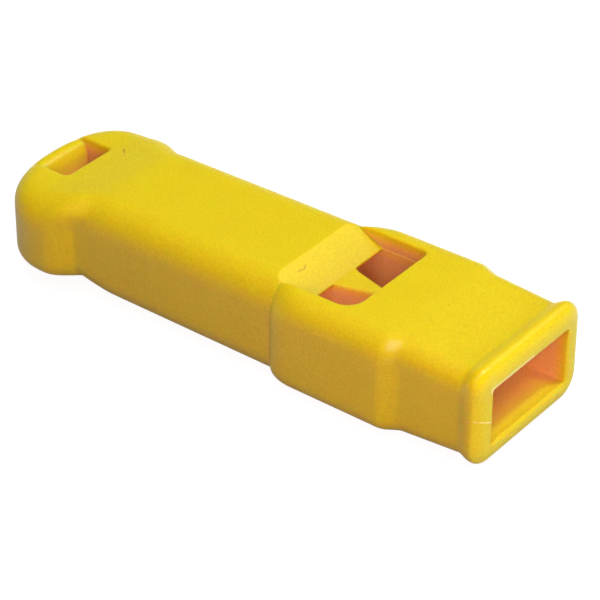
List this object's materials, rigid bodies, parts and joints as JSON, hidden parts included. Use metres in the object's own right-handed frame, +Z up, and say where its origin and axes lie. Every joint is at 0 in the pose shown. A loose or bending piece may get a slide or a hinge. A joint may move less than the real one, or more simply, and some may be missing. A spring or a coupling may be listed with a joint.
{
  "type": "whistle",
  "caption": "Flat pealess whistle: a long rectangular barrel with a rounded lanyard head, pushed into a wider mouthpiece sleeve with a notched sounding window and a bull-nosed lip.",
  "frame": {"origin": "on the resting plane, under the middle of the whistle's length and width", "axes": "+X from the lanyard head to the mouth, +Y across the whistle, +Z up through the side with the sounding window"},
  "size_m": [0.0808, 0.0256, 0.0144],
  "materials": {
    "yellow_plastic": "satin-gloss injection-moulded yellow plastic, slightly translucent in thin walls"
  },
  "bodies": {
    "root": {"barrel": "yellow_plastic", "mouthpiece": "yellow_plastic", "windway_block": "yellow_plastic"}
  },
  "joints": []
}
